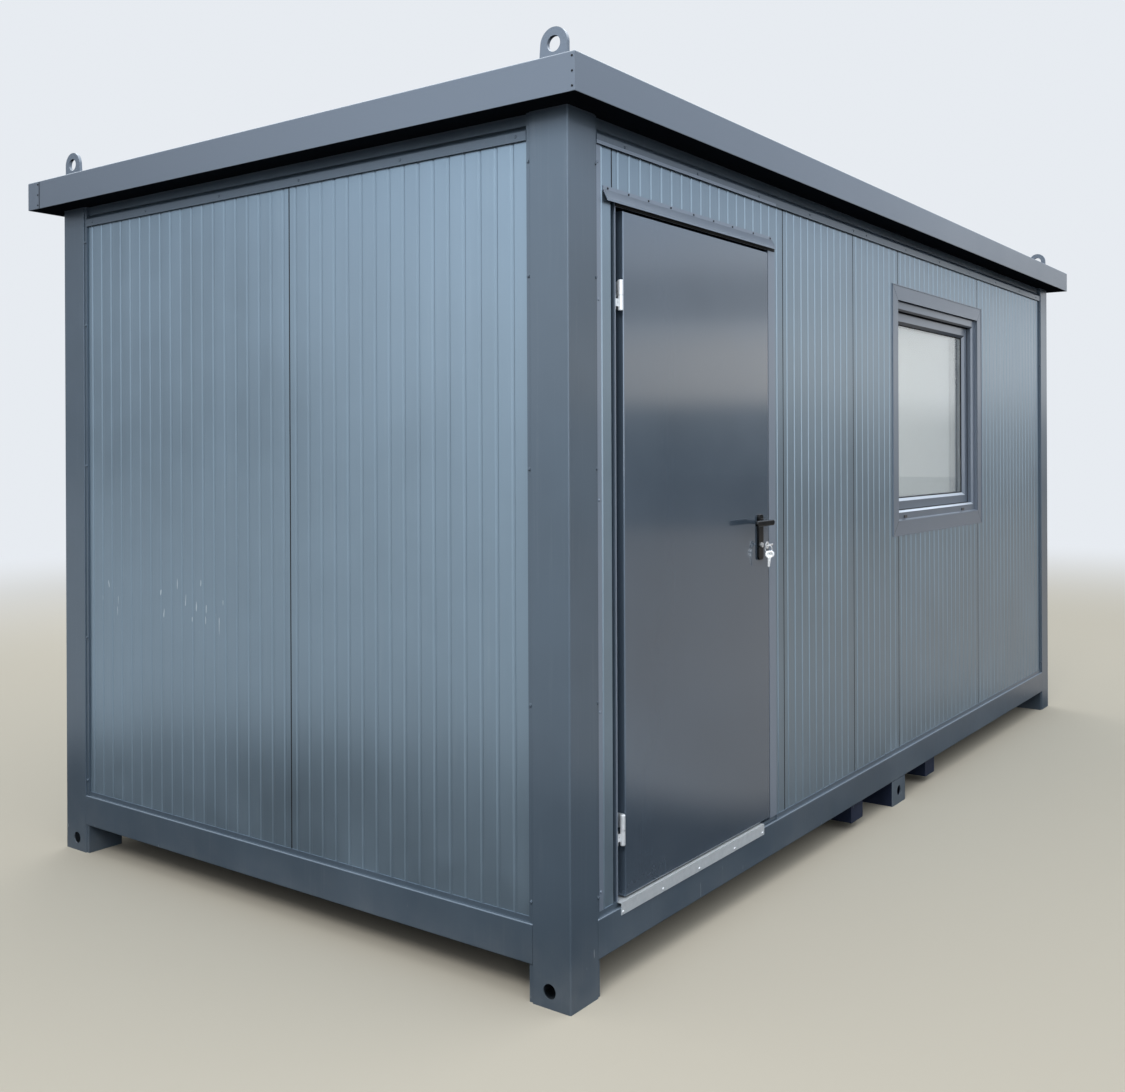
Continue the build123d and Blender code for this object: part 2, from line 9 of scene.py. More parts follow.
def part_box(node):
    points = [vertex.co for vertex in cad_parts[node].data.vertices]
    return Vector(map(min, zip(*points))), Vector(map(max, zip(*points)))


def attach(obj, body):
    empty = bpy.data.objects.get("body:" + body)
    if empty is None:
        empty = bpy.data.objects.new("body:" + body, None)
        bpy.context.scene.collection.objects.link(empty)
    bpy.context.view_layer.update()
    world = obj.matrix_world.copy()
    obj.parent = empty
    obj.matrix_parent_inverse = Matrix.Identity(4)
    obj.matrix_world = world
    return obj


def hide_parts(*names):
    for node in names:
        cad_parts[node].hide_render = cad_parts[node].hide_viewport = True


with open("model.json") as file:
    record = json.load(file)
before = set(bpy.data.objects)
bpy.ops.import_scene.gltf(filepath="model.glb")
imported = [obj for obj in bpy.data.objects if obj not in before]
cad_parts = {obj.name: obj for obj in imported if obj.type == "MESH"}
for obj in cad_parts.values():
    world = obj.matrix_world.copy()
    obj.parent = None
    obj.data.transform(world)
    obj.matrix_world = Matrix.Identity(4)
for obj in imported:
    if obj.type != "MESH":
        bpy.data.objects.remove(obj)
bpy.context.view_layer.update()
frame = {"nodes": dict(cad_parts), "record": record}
nodes = frame["nodes"]
print("cabin frame loaded")

# the cabin's outer lines, read from its posts
nearCorner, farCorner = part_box("corner_post_front_left")[0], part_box("corner_post_back_right")[1]
leftFace, frontFace = nearCorner.x, nearCorner.y
rightFace, backFace = farCorner.x, farCorner.y
cabinLength, cabinWidth = rightFace - leftFace, backFace - frontFace
flangeStep = 0.005    # the posts' flanges lie this far behind their faces


# selecting, adding and finishing, as by hand
def solo(obj=None):
    if bpy.context.mode != "OBJECT":
        bpy.ops.object.mode_set(mode="OBJECT")
    bpy.ops.object.select_all(action="DESELECT")
    if obj is not None:
        obj.select_set(True)
        bpy.context.view_layer.objects.active = obj
    return obj


def addPrimitive(kind, **settings):
    solo()
    getattr(bpy.ops.mesh, f"primitive_{kind}_add")(**settings)
    return bpy.context.object


def addBox(low, high):
    low, high = Vector(low), Vector(high)
    obj = addPrimitive("cube", size=1, location=(low + high) / 2)
    obj.scale = high - low
    return applyPlace(obj)


def applyPlace(obj):
    solo(obj)
    bpy.ops.object.transform_apply(location=True, rotation=True, scale=True)
    return obj


def pick(obj, kind, test):
    solo(obj)
    bpy.ops.object.mode_set(mode="EDIT")
    bpy.ops.mesh.select_mode(type=kind)
    bpy.ops.mesh.select_all(action="DESELECT")
    mesh = bmesh.from_edit_mesh(obj.data)
    for part in {"FACE": mesh.faces, "EDGE": mesh.edges, "VERT": mesh.verts}[kind]:
        part.select_set(test(part))
    bmesh.update_edit_mesh(obj.data)


def pickTopEdges(obj):
    pick(obj, "EDGE", lambda edge: all(vert.co.z > 1e-5 for vert in edge.verts))


def useModifier(obj, kind, **settings):
    solo(obj)
    mod = obj.modifiers.new(kind.lower(), kind)
    for key, value in settings.items():
        setattr(mod, key, value)
    bpy.ops.object.modifier_apply(modifier=mod.name)
    return obj


def joined(parts):
    solo(parts[0])
    for part in parts:
        part.select_set(True)
    bpy.ops.object.join()
    return applyPlace(bpy.context.object)


# name, smooth and paint a piece with its slot's material or the one given, and let it ride on a body
def settle(obj, name, body, slot, mat=None, smoothAngle=40):
    applyPlace(obj)
    obj.name = name
    bpy.ops.object.shade_smooth_by_angle(angle=math.radians(smoothAngle))
    obj.data.materials.clear()
    obj.data.materials.append(mat or look[slot])
    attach(obj, body)
    return obj


def copyTo(base, place):
    part = base.copy()
    part.data = base.data.copy()
    bpy.context.scene.collection.objects.link(part)
    part.matrix_world = place
    return applyPlace(part)


def turned(degrees, axis):
    return Matrix.Rotation(math.radians(degrees), 4, axis)


# a place with its own Z axis along the given direction
def facingOut(point, outward):
    return Matrix.Translation(point) @ Vector(outward).to_track_quat("Z", "Y").to_matrix().to_4x4()


def copiesAt(base, spots):
    return joined([copyTo(base, facingOut(point, outward)) for point, outward in spots])


def drop(*objs):
    for obj in objs:
        bpy.data.objects.remove(obj)


# a spot on a wall: along it from its left or door-side post, up it, and in from the posts' face
def wallSpot(side, along, height, depth):
    if side == "front":
        return Vector((leftFace + along, frontFace + depth, height)), Vector((0, -1, 0))
    if side == "back":
        return Vector((leftFace + along, backFace - depth, height)), Vector((0, 1, 0))
    if side == "left":
        return Vector((leftFace + depth, frontFace + along, height)), Vector((-1, 0, 0))
    return Vector((rightFace - depth, frontFace + along, height)), Vector((1, 0, 0))


# node helpers
def addNode(tree, kind, inputs=None, **settings):
    node = tree.nodes.new(kind)
    for key, value in settings.items():
        setattr(node, key, value)
    for key, value in (inputs or {}).items():
        node.inputs[key].default_value = value
    return node


def feed(tree, socket, value):
    if isinstance(value, bpy.types.NodeSocket):
        tree.links.new(value, socket)
    else:
        socket.default_value = value


def objectCoords(tree):
    return addNode(tree, "ShaderNodeTexCoord").outputs["Object"]


def stretched(tree, vector, scale):
    mapping = addNode(tree, "ShaderNodeMapping", {"Scale": scale})
    tree.links.new(vector, mapping.inputs["Vector"])
    return mapping.outputs["Vector"]


def noiseOf(tree, vector, scale, detail=2.0, rough=0.5):
    tex = addNode(tree, "ShaderNodeTexNoise", {"Detail": detail, "Roughness": rough})
    tree.links.new(vector, tex.inputs["Vector"])
    feed(tree, tex.inputs["Scale"], scale)
    return tex.outputs["Fac"]


def remap(tree, value, low, high, outLow=0.0, outHigh=1.0, smooth=False):
    node = addNode(tree, "ShaderNodeMapRange", interpolation_type="SMOOTHSTEP" if smooth else "LINEAR")
    names = ("Value", "From Min", "From Max", "To Min", "To Max")
    for key, number in zip(names, (value, low, high, outLow, outHigh)):
        feed(tree, node.inputs[key], number)
    return node.outputs["Result"]


def maths(tree, operation, a, b=0.5):
    node = addNode(tree, "ShaderNodeMath", operation=operation)
    feed(tree, node.inputs[0], a)
    feed(tree, node.inputs[1], b)
    return node.outputs[0]


def times(tree, *values):
    result = values[0]
    for value in values[1:]:
        result = maths(tree, "MULTIPLY", result, value)
    return result


def mixColor(tree, factor, a, b, blend="MIX"):
    node = addNode(tree, "ShaderNodeMix", data_type="RGBA", blend_type=blend)
    for index, value in ((0, factor), (6, a), (7, b)):
        feed(tree, node.inputs[index], (*value, 1) if isinstance(value, tuple) and len(value) == 3 else value)
    return node.outputs[2]


def axes(tree, vector):
    split = addNode(tree, "ShaderNodeSeparateXYZ")
    tree.links.new(vector, split.inputs[0])
    return split.outputs


def newGroup(name, inputs, outputs):
    group = bpy.data.node_groups.new(name, "ShaderNodeTree")
    group.interface.new_socket("Vector", in_out="INPUT", socket_type="NodeSocketVector")
    for label, value in inputs.items():
        socket = group.interface.new_socket(label, in_out="INPUT", socket_type="NodeSocketFloat")
        socket.default_value = value
    for label in outputs:
        group.interface.new_socket(label, in_out="OUTPUT", socket_type="NodeSocketFloat")
    return group, group.nodes.new("NodeGroupInput").outputs, group.nodes.new("NodeGroupOutput").inputs


def useGroup(tree, group, vector, values=None):
    node = addNode(tree, "ShaderNodeGroup", values, node_tree=group)
    tree.links.new(vector, node.inputs["Vector"])
    return node.outputs


# factory paint: a fine skin, and a tone that drifts slowly over the sheets
def sprayGroup():
    group, given, result = newGroup("spray", {"Skin Scale": 260.0}, ["Skin", "Tone"])
    skin = noiseOf(group, given["Vector"], given["Skin Scale"], 1.0, 0.45)
    tone = noiseOf(group, given["Vector"], 1.9, 3.0, 0.62)
    group.links.new(skin, result["Skin"])
    group.links.new(remap(group, tone, 0.32, 0.68), result["Tone"])
    return group


# weather: dust that settles low down, and thin runs of rain down the walls
def weatherGroup():
    group, given, result = newGroup("weather", {"Dust Top": 0.55, "Run Scale": 34.0}, ["Dust", "Runs"])
    vector = given["Vector"]
    cloud = noiseOf(group, vector, 5.5, 4.0, 0.65)
    low = remap(group, axes(group, vector)["Z"], given["Dust Top"], 0.0, smooth=True)
    dust = times(group, low, remap(group, cloud, 0.3, 0.75))
    thin = noiseOf(group, stretched(group, vector, (1.0, 1.0, 0.03)), given["Run Scale"], 2.0, 0.7)
    runs = times(group, remap(group, thin, 0.55, 0.8), remap(group, cloud, 0.35, 0.65))
    group.links.new(dust, result["Dust"])
    group.links.new(runs, result["Runs"])
    return group


# knocks: small upright scrapes down to the primer, in a band between two heights
def scrapeGroup():
    band = {
        "Low": 0.9, "High": 1.1, "Start": -1.0, "End": 1.0, "Right": 9.0, "Scrape Scale": 34.0, "Amount": 0.5,
    }
    group, given, result = newGroup("scrapes", band, ["Scrapes"])
    parts = axes(group, given["Vector"])
    soft = 0.05    # the band's ends fade over this distance
    above = remap(group, maths(group, "SUBTRACT", parts["Z"], given["Low"]), 0.0, soft)
    below = remap(group, maths(group, "SUBTRACT", given["High"], parts["Z"]), 0.0, soft)
    after = remap(group, maths(group, "SUBTRACT", parts["Y"], given["Start"]), 0.0, soft)
    before = remap(group, maths(group, "SUBTRACT", given["End"], parts["Y"]), 0.0, soft)
    upright = stretched(group, given["Vector"], (1.0, 1.0, 0.16))
    nick = noiseOf(group, upright, given["Scrape Scale"], 1.0, 0.5)
    edge = remap(group, given["Amount"], 0.0, 1.0, 0.82, 0.6)
    cut = remap(group, maths(group, "SUBTRACT", nick, edge), 0.0, 0.02)
    leftOf = maths(group, "LESS_THAN", parts["X"], given["Right"])
    group.links.new(times(group, above, below, after, before, leftOf, cut), result["Scrapes"])
    return group


spray = sprayGroup()
weather = weatherGroup()
scrapes = scrapeGroup()
print("shared surface groups built")


def newMaterial(name):
    mat = bpy.data.materials.new(name)
    mat.use_nodes = True
    tree = mat.node_tree
    return mat, tree, tree.nodes["Principled BSDF"]


def bumpInto(tree, shader, height, distance):
    node = addNode(tree, "ShaderNodeBump", {"Distance": distance})
    tree.links.new(height, node.inputs["Height"])
    tree.links.new(node.outputs["Normal"], shader.inputs["Normal"])


def shades(color, drift):
    return tuple(part * (1 - drift) for part in color), tuple(min(1, part * (1 + drift)) for part in color)


# areas of a paint that are given another colour, each as the two corners of a box; under the floor it is
# painted shade
flashingLow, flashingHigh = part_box("window_flashing")
frameLow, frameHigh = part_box("window_frame")
slack = Vector((0.001, 0.001, 0.001))
lining = 0.045    # the room's lining starts this far behind the posts' faces
areas = {
    "flashing": (flashingLow - slack, flashingHigh + slack),
    # the tubes and feet under the floor, but for the feet's outer faces: painted dark as the shade under the
    # cabin
    "underFloorShade": ((-1.3, frontFace + 0.004, -0.001), (1.3, backFace - 0.004, 0.1065)),
    # the door's frame, the trim beside it and the drip over it
    "doorSurround": (
        (leftFace + 0.1458, frontFace - 0.006, 0.236),
        (leftFace + 1.2735, frontFace + 0.0125, 2.42),
    ),
    "room": (
        (leftFace + lining, frontFace + lining, 0.0),
        (rightFace - lining, backFace - lining, 3.0),
    ),
    "drainCaps": (
        (frameLow.x, frameLow.y - 0.001, frameLow.z + 0.01),
        (frameHigh.x, frameLow.y + 0.0037, frameLow.z + 0.024),
    ),
}


def recolored(tree, vector, base, colors):
    for area, color in colors.items():
        parts = axes(tree, vector)
        inside = 1.0
        for axis, start, end in zip("XYZ", *areas[area]):
            after = maths(tree, "GREATER_THAN", parts[axis], start)
            inside = times(tree, after, maths(tree, "LESS_THAN", parts[axis], end), inside)
        base = mixColor(tree, inside, base, color)
    return base


# one recipe for every painted sheet: colour and drift, rain, dust, scrapes, undersides painted near black and
# dull as painted shade, and the fine skin
def paintedSteel(name, paint):
    mat, tree, shader = newMaterial(name)
    vector = objectCoords(tree)
    sprayed = useGroup(tree, spray, vector, {"Skin Scale": paint["skinScale"]})
    rain = {"Dust Top": paint["dustTop"], "Run Scale": paint["runScale"]}
    weathered = useGroup(tree, weather, vector, rain)
    base = mixColor(tree, sprayed["Tone"], *shades(paint["color"], paint["drift"]))
    base = mixColor(tree, times(tree, weathered["Runs"], paint["runs"]), base, paint["runColor"])
    base = mixColor(tree, times(tree, weathered["Dust"], paint["dust"]), base, paint["dustColor"])
    if "chalk" in paint:
        chalky = remap(tree, axes(tree, vector)["Z"], *paint["chalkRise"])
        base = mixColor(tree, chalky, base, paint["chalk"])
    base = recolored(tree, vector, base, paint["areas"])
    if "scrapes" in paint:
        scraped = useGroup(tree, scrapes, vector, paint["scrapes"])["Scrapes"]
        base = mixColor(tree, times(tree, scraped, paint["scraped"]), base, paint["scrapeColor"])
    base = recolored(tree, vector, base, paint["linings"])
    facing = axes(tree, addNode(tree, "ShaderNodeNewGeometry").outputs["Normal"])["Z"]
    # faces that look up are painted paler: a painted highlight from the light above
    if "ledgeHighlight" in paint:
        base = mixColor(tree, remap(tree, facing, 0.35, 0.6, smooth=True), base, paint["ledgeHighlight"])
    # faces that look down are painted near black and lose their gloss: painted shade
    shadedUnderside = remap(tree, facing, -0.5, -0.9, smooth=True)
    base = mixColor(tree, shadedUnderside, base, paint["undersideShade"])
    tree.links.new(recolored(tree, vector, base, paint["caps"]), shader.inputs["Base Color"])
    gloss, spread = paint["rough"], paint["roughDrift"]
    rough = remap(tree, sprayed["Tone"], 0.0, 1.0, gloss - spread, gloss + spread)
    rough = maths(tree, "ADD", rough, times(tree, weathered["Dust"], paint["dustRough"]))
    rough = maths(tree, "ADD", rough, times(tree, shadedUnderside, paint["underRough"]))
    tree.links.new(rough, shader.inputs["Roughness"])
    for label, key in (("Coat Weight", "coat"), ("Metallic", "metallic"), ("Specular IOR Level", "specular")):
        tree.links.new(remap(tree, shadedUnderside, 0.0, 1.0, paint[key], 0.0), shader.inputs[label])
    shader.inputs["Coat Roughness"].default_value = paint["coatRough"]
    skin = sprayed["Skin"]
    if "wave" in paint:
        wave = noiseOf(tree, stretched(tree, vector, (1.0, 1.0, 0.03)), paint["waveScale"], 0.0)
        skin = maths(tree, "ADD", skin, times(tree, wave, paint["wave"] / paint["skinDepth"]))
    bumpInto(tree, shader, skin, paint["skinDepth"])
    return mat


steelPaint = {
    "color": (0.094, 0.128, 0.165), "drift": 0.07, "rough": 0.34, "roughDrift": 0.03, "specular": 0.5,
    "metallic": 0.3, "coat": 0.35, "coatRough": 0.14, "skinScale": 420.0, "skinDepth": 0.00012,
    "runColor": (0.17, 0.205, 0.24), "runs": 0.3, "runScale": 60.0,
    "dustColor": (0.33, 0.32, 0.29), "dust": 0.25, "dustTop": 0.3, "dustRough": 0.3,
    "scrapeColor": (0.42, 0.44, 0.45), "scraped": 0.75,
    # the undersides' colour is painted shade
    "undersideShade": (0.012, 0.014, 0.017), "underRough": 0.35,
    "areas": {}, "linings": {}, "caps": {},
}
framePaint = dict(
    steelPaint, chalk=(0.145, 0.175, 0.217), chalkRise=(2.478, 2.486),
    areas={
        # the dark colour under the floor is painted shade
        "flashing": (0.19, 0.222, 0.27), "underFloorShade": (0.02, 0.028, 0.056),
        "doorSurround": (0.23, 0.275, 0.34),
    },
    scrapes={"Low": -0.05, "High": 0.2, "Start": -2.0, "End": 2.0, "Scrape Scale": 95.0, "Amount": 0.2},
)
wallPaint = dict(
    steelPaint, color=(0.228, 0.298, 0.358), drift=0.05, rough=0.31, metallic=0.7, coat=0.25,
    coatRough=0.16, skinScale=900.0, skinDepth=0.00003, dust=0.05, dustTop=0.6,
    runColor=(0.3, 0.37, 0.42), runs=0.3, linings={"room": (0.72, 0.73, 0.72)},
    scrapeColor=(0.62, 0.67, 0.7), wave=0.0018, waveScale=11.0,
    scrapes={
        "Low": 0.9, "High": 1.12, "Start": 0.2, "End": 1.0, "Right": 0.0,
        "Scrape Scale": 80.0, "Amount": 0.46,
    },
)
doorPaint = dict(
    steelPaint, color=(0.102, 0.139, 0.186), drift=0.05, rough=0.19, metallic=0.45, coat=1.0,
    coatRough=0.07, skinScale=500.0, skinDepth=0.00004, dust=0.12, dustTop=0.5, runs=0.1,
)
roofPaint = dict(
    steelPaint, color=(0.42, 0.44, 0.45), drift=0.14, rough=0.45, metallic=0.1, coat=0.0,
    runColor=(0.26, 0.26, 0.24), runs=0.5, runScale=9.0,
)
windowPaint = dict(
    steelPaint, color=(0.142, 0.172, 0.216), drift=0.04, metallic=0.2, coat=0.6, coatRough=0.1,
    # the paler colour on up-facing faces is a painted highlight
    skinScale=1100.0, skinDepth=0.00003, dust=0.0, runs=0.2, ledgeHighlight=(0.72, 0.78, 0.86),
    caps={"drainCaps": (0.012, 0.014, 0.018)},
)


def zincMaterial():
    mat, tree, shader = newMaterial("zincSteel")
    spangle = noiseOf(tree, objectCoords(tree), 95.0, 3.0, 0.6)
    base = mixColor(tree, spangle, (0.7, 0.73, 0.75), (0.93, 0.94, 0.95))
    tree.links.new(base, shader.inputs["Base Color"])
    tree.links.new(remap(tree, spangle, 0.3, 0.7, 0.26, 0.42), shader.inputs["Roughness"])
    shader.inputs["Metallic"].default_value = 0.45
    bumpInto(tree, shader, spangle, 0.00008)
    return mat


def aluminiumMaterial():
    mat, tree, shader = newMaterial("bareAluminium")
    vector = objectCoords(tree)
    rolled = noiseOf(tree, stretched(tree, vector, (0.02, 1.0, 1.0)), 900.0, 2.0, 0.6)
    trodden = noiseOf(tree, vector, 28.0, 4.0, 0.7)
    base = mixColor(tree, remap(tree, trodden, 0.35, 0.7), (0.72, 0.76, 0.78), (0.86, 0.89, 0.91))
    base = mixColor(tree, times(tree, rolled, 0.25), base, (0.56, 0.6, 0.63))
    tree.links.new(base, shader.inputs["Base Color"])
    tree.links.new(remap(tree, trodden, 0.3, 0.7, 0.5, 0.34), shader.inputs["Roughness"])
    shader.inputs["Metallic"].default_value = 0.5
    bumpInto(tree, shader, rolled, 0.00006)
    return mat


# black fittings and rubber share this: two near-black tones, a grain and patchy gloss
def darkMaterial(name, darkTone, lightTone, rough, grainScale, grainDepth, specular):
    mat, tree, shader = newMaterial(name)
    vector = objectCoords(tree)
    grain = noiseOf(tree, vector, grainScale, 2.0, 0.5)
    handled = noiseOf(tree, vector, 22.0, 3.0, 0.6)
    tree.links.new(mixColor(tree, handled, (darkTone,) * 3, (lightTone,) * 3), shader.inputs["Base Color"])
    tree.links.new(remap(tree, handled, 0.3, 0.7, rough - 0.07, rough + 0.07), shader.inputs["Roughness"])
    shader.inputs["Specular IOR Level"].default_value = specular
    bumpInto(tree, shader, grain, grainDepth)
    return mat


def lockSteelMaterial():
    mat, tree, shader = newMaterial("lockSteel")
    brushed = noiseOf(tree, stretched(tree, objectCoords(tree), (1.0, 1.0, 0.05)), 1600.0, 1.0, 0.5)
    base = mixColor(tree, brushed, (0.78, 0.78, 0.77), (0.95, 0.95, 0.94))
    tree.links.new(base, shader.inputs["Base Color"])
    tree.links.new(remap(tree, brushed, 0.3, 0.7, 0.16, 0.3), shader.inputs["Roughness"])
    shader.inputs["Metallic"].default_value = 0.6
    bumpInto(tree, shader, brushed, 0.00002)
    return mat


def boardMaterial(name, dark, light, rough):
    mat, tree, shader = newMaterial(name)
    vector = objectCoords(tree)
    fleck = noiseOf(tree, vector, 160.0, 3.0, 0.7)
    worn = noiseOf(tree, vector, 2.6, 4.0, 0.6)
    base = mixColor(tree, fleck, dark, light)
    tree.links.new(mixColor(tree, times(tree, worn, 0.25), base, dark), shader.inputs["Base Color"])
    tree.links.new(remap(tree, worn, 0.3, 0.7, rough - 0.08, rough + 0.08), shader.inputs["Roughness"])
    bumpInto(tree, shader, fleck, 0.0001)
    return mat


def glassMaterial():
    mat, tree, shader = newMaterial("pane")
    shader.inputs["Base Color"].default_value = (0.95, 0.98, 0.98, 1)
    shader.inputs["Roughness"].default_value = 0.0
    shader.inputs["IOR"].default_value = 1.52
    shader.inputs["Transmission Weight"].default_value = 1.0
    return mat


look = {
    "frame_paint": paintedSteel("framePaint", framePaint),
    "panel_skin": paintedSteel("wallPaint", wallPaint),
    "door_paint": paintedSteel("doorPaint", doorPaint),
    "roof_steel": paintedSteel("roofPaint", roofPaint),
    "window_plastic": paintedSteel("windowPaint", windowPaint),
    "floor_board": boardMaterial("floorBoard", (0.22, 0.22, 0.23), (0.36, 0.36, 0.37), 0.45),
    "ceiling_board": boardMaterial("ceilingBoard", (0.74, 0.74, 0.72), (0.82, 0.82, 0.8), 0.6),
    "zinc_steel": zincMaterial(),
    "bare_aluminium": aluminiumMaterial(),
    "black_fittings": darkMaterial("blackFittings", 0.001, 0.003, 0.09, 700.0, 0.00002, 0.3),
    "lock_steel": lockSteelMaterial(),
    "pane": glassMaterial(),
}
rubber = darkMaterial("sealRubber", 0.006, 0.014, 0.6, 480.0, 0.00006, 0.12)
for row in frame["record"]["subparts"]:
    obj = nodes[row["node"]]
    obj.data.materials.clear()
    obj.data.materials.append(look[row["material_slot"]])
print("materials on", len(nodes), "cabin nodes")

# hexagon screws with a washer, and blind rivets
screwShape = {
    "washer": 0.0062, "washerHeight": 0.0011, "hex": 0.0043, "hexHeight": 0.0034, "lap": 0.0002,
    "bevel": 0.0005,
}
rivetShape = {
    "radius": 0.0042, "height": 0.0019, "dome": 0.0012, "mandrel": 0.0014, "mandrelEdge": 0.0002,
    "mandrelDepth": 0.0005,
}


def makeScrew():
    size = screwShape
    washer = addPrimitive("cylinder", vertices=14, radius=size["washer"], depth=size["washerHeight"])
    washer.location.z = size["washerHeight"] / 2
    pickTopEdges(applyPlace(washer))
    bpy.ops.mesh.bevel(offset=size["bevel"], segments=1, affect="EDGES")
    head = addPrimitive("cylinder", vertices=6, radius=size["hex"], depth=size["hexHeight"])
    head.location.z = size["washerHeight"] + size["hexHeight"] / 2 - size["lap"]
    applyPlace(head)
    pick(head, "EDGE", lambda edge: all(vert.co.z > size["hexHeight"] for vert in edge.verts))
    bpy.ops.mesh.bevel(offset=size["bevel"], segments=2, affect="EDGES")
    return joined([washer, head])


def makeRivet():
    size = rivetShape
    rivet = addPrimitive("cylinder", vertices=14, radius=size["radius"], depth=size["height"])
    rivet.location.z = size["height"] / 2
    pickTopEdges(applyPlace(rivet))
    bpy.ops.mesh.bevel(offset=size["dome"], segments=3, affect="EDGES")
    pick(rivet, "FACE", lambda face: face.normal.z > 0.99)
    bpy.ops.mesh.inset(thickness=size["radius"] - size["dome"] - size["mandrel"], depth=0)
    bpy.ops.mesh.inset(thickness=size["mandrelEdge"], depth=-size["mandrelDepth"])
    return applyPlace(rivet)


flangeScrews = {"inset": 0.139, "heights": (0.28, 0.83, 1.49, 2.03, 2.35)}
lipRivets = {
    "height": 2.425, "depth": 0.003,
    "long": (0.29, 0.716, 1.143, 1.56, 1.974, 2.11, 2.56, 3.0, 3.44, 3.88, 4.32, 4.66),
    "short": (0.183, 0.63, 1.084, 1.49, 1.91, 2.25),
}
trimRivets = {"along": 0.159, "heights": (0.29, 0.80, 1.40, 1.97, 2.36), "depth": 0.009}
dripRivets = {
    "height": 2.2925, "depth": 0.010, "scale": 0.8,
    "along": (0.21, 0.32, 0.43, 0.56, 0.70, 0.83, 0.96, 1.11, 1.24),
}
stripRivets = {"height": 0.2065, "depth": -0.002, "along": (0.257, 0.479, 0.70, 0.936, 1.139)}
roofScrews = {"ribs": 13, "pitch": 0.333, "crest": 2.566, "rows": (-1.02, -0.51, 0.0, 0.51, 1.02)}


def fitFasteners():
    screw, rivet = makeScrew(), makeRivet()
    sides = (("front", cabinLength), ("back", cabinLength), ("left", cabinWidth), ("right", cabinWidth))
    flange, lip = [], []
    for side, span in sides:
        for along in (flangeScrews["inset"], span - flangeScrews["inset"]):
            flange += [wallSpot(side, along, height, flangeStep) for height in flangeScrews["heights"]]
        row = lipRivets["long" if span == cabinLength else "short"]
        lip += [wallSpot(side, along, lipRivets["height"], lipRivets["depth"]) for along in row]
    row = trimRivets
    trim = [wallSpot("front", row["along"], height, row["depth"]) for height in row["heights"]]
    drip, strip = [
        [wallSpot("front", along, row["height"], row["depth"]) for along in row["along"]]
        for row in (dripRivets, stripRivets)
    ]
    roof = []
    for index in range(roofScrews["ribs"]):
        across = (index - (roofScrews["ribs"] - 1) / 2) * roofScrews["pitch"]
        roof += [(Vector((across, y, roofScrews["crest"])), Vector((0, 0, 1))) for y in roofScrews["rows"]]
    small = copyTo(rivet, Matrix.Scale(dripRivets["scale"], 4))
    for base, spots, name, slot, mat in (
        (screw, flange, "flangeScrews", "frame_paint", None),
        (rivet, lip, "lipRivets", "frame_paint", None),
        (rivet, trim, "trimRivets", "frame_paint", None),
        (small, drip, "dripRivets", "black_fittings", rubber),
        (rivet, strip, "stripRivets", "zinc_steel", None),
        (screw, roof, "roofScrews", "zinc_steel", None),
    ):
        settle(copiesAt(base, spots), name, "cabin", slot, mat)
    drop(screw, small)
    return rivet


rivetBase = fitFasteners()
print("screws and rivets fitted")

# folded tabs that close the roof edge's corners, riveted to the end sides
cornerTabs = {
    "thickness": 0.001, "frontWidth": 0.017, "backWidth": 0.075, "heights": (2.498, 2.537, 2.577),
    "rivetInset": 0.009, "rivetScale": 0.75, "bevel": 0.0004, "sealant": 0.0026, "wobble": 0.0006,
    "below": 0.004, "above": 0.0015, "sunk": 0.0003, "rivetOut": 0.0006, "sealantOut": 0.0002,
}


def fitCornerTabs():
    size = cornerTabs
    low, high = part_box("roof_fascia_left")
    top, bottom = high.z - size["below"], low.z + size["above"]
    tabs, beads, spots = [], [], []
    for x, outward in ((low.x, -1), (-low.x, 1)):
        for y, inward, width in ((low.y, 1, size["frontWidth"]), (high.y, -1, size["backWidth"])):
            start, end = sorted((y, y + inward * width))
            back = x - outward * size["sunk"]
            inner, outer = sorted((back, back - outward * size["thickness"]))
            tab = addBox((inner, start, bottom), (outer, end, top))
            tab.location.x = outward * (size["thickness"] - size["sunk"])
            tabs.append(useModifier(applyPlace(tab), "BEVEL", width=size["bevel"], segments=2))
            seam = y + inward * (width + size["sealant"] / 2)
            riveted = Vector((x + outward * size["rivetOut"], seam - inward * size["rivetInset"], 0))
            spots += [(riveted + Vector((0, 0, z)), Vector((outward, 0, 0))) for z in size["heights"]]
            if width < size["backWidth"]:
                continue
            bead = addPrimitive("cylinder", vertices=8, radius=size["sealant"] / 2, depth=top - bottom)
            bead.location = (x + outward * size["sealantOut"], seam, (top + bottom) / 2)
            applyPlace(bead)
            pick(bead, "EDGE", lambda edge: abs(edge.verts[0].co.z - edge.verts[1].co.z) > 0.05)
            bpy.ops.mesh.subdivide(number_cuts=24)
            bpy.ops.transform.vertex_random(offset=size["wobble"], seed=7)
            beads.append(applyPlace(bead))
    settle(joined(tabs), "roofEdgeTabs", "cabin", "frame_paint", smoothAngle=10)
    settle(joined(beads), "roofEdgeSealant", "cabin", "black_fittings", rubber)
    small = copyTo(rivetBase, Matrix.Scale(size["rivetScale"], 4))
    settle(copiesAt(small, spots), "tabRivets", "cabin", "black_fittings", rubber)
    drop(small)


fitCornerTabs()
drop(rivetBase)
print("roof edge corners closed")


def uprightSheet(low, high, depth):
    sheet = addPrimitive("plane", size=1, rotation=(math.pi / 2, 0, 0))
    sheet.location = ((low.x + high.x) / 2, depth, (low.z + high.z) / 2)
    sheet.scale = (high.x - low.x, high.z - low.z, 1)
    return applyPlace(sheet)


# cut a flat face out but for a rim of this width
def leaveRim(obj, width):
    pick(obj, "FACE", lambda face: True)
    bpy.ops.mesh.inset(thickness=width, depth=0)
    bpy.ops.mesh.delete(type="FACE")


def roundEdges(obj, width):
    return useModifier(obj, "BEVEL", width=width, segments=2, limit_method="ANGLE")


